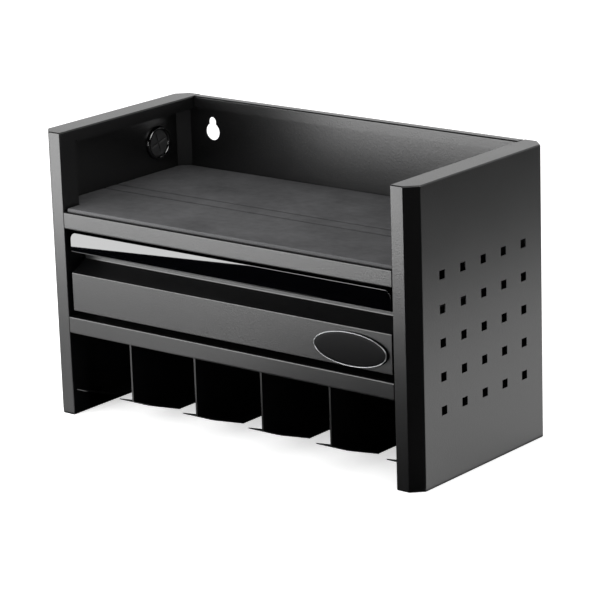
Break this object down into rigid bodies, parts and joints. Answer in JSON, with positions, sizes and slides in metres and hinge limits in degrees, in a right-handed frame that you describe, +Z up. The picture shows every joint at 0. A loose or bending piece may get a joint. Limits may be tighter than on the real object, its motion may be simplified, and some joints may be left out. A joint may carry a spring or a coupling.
{
  "type": "power tool storage rack",
  "caption": "Wall or bench rack in black folded steel: matted top tray, sliding drawer and hanging slots for power tools.",
  "frame": {"origin": "middle of the bounding box's underside, on the standing face", "axes": "+X to the right seen from the front, +Y to the rear, +Z up"},
  "size_m": [0.535, 0.25, 0.34],
  "materials": {
    "black_powder_coat": "satin",
    "zinc_plated_steel": "satin",
    "rivet_steel": "satin",
    "ball_cage_steel": "polished",
    "foam_mat": "matte",
    "gloss_black_plastic": "gloss",
    "black_rubber": "matte",
    "badge_field": "satin",
    "chrome_trim": "polished"
  },
  "bodies": {
    "cabinet": {"left_side_panel": "black_powder_coat", "right_side_panel": "black_powder_coat", "back_panel": "black_powder_coat", "upper_shelf": "black_powder_coat", "lower_shelf": "black_powder_coat", "shelf_mat": "foam_mat", "cable_grommet": "gloss_black_plastic", "grommet_petals": "black_rubber", "tool_holder_1": "black_powder_coat", "tool_holder_2": "black_powder_coat", "tool_holder_3": "black_powder_coat", "tool_holder_4": "black_powder_coat", "tool_holder_5": "black_powder_coat", "holder_rivets": "rivet_steel", "slide_bracket_left": "black_powder_coat", "slide_bracket_right": "black_powder_coat", "slide_outer_left": "zinc_plated_steel", "slide_outer_right": "zinc_plated_steel", "slide_rivets": "rivet_steel"},
    "drawer": {"drawer_tray": "black_powder_coat", "drawer_front": "black_powder_coat", "drawer_pull": "gloss_black_plastic", "pull_cap_left": "gloss_black_plastic", "pull_cap_right": "gloss_black_plastic", "pull_screws": "rivet_steel", "badge_plate": "badge_field", "badge_rim": "chrome_trim", "slide_inner_left": "zinc_plated_steel", "slide_inner_right": "zinc_plated_steel", "drawer_rivets": "rivet_steel"},
    "slide_middles": {"slide_middle_left": "zinc_plated_steel", "slide_middle_right": "zinc_plated_steel"},
    "outer_cages": {"outer_ball_cages": "ball_cage_steel"},
    "inner_cages": {"inner_ball_cages": "ball_cage_steel"}
  },
  "joints": [
    {"name": "drawer_slide", "type": "slide", "parent": "cabinet", "child": "drawer", "axis": [0, -1, 0], "range_m": [0, 0.18]},
    {"name": "middle_member_slide", "type": "slide", "parent": "cabinet", "child": "slide_middles", "axis": [0, -1, 0], "range_m": [0, 0.09]},
    {"name": "outer_cage_slide", "type": "slide", "parent": "cabinet", "child": "outer_cages", "axis": [0, -1, 0], "range_m": [0, 0.045]},
    {"name": "inner_cage_slide", "type": "slide", "parent": "cabinet", "child": "inner_cages", "axis": [0, -1, 0], "range_m": [0, 0.135]}
  ],
  "couplings": [
    {"joint": "middle_member_slide", "follows": "drawer_slide", "ratio": 0.5},
    {"joint": "outer_cage_slide", "follows": "drawer_slide", "ratio": 0.25},
    {"joint": "inner_cage_slide", "follows": "drawer_slide", "ratio": 0.75}
  ]
}
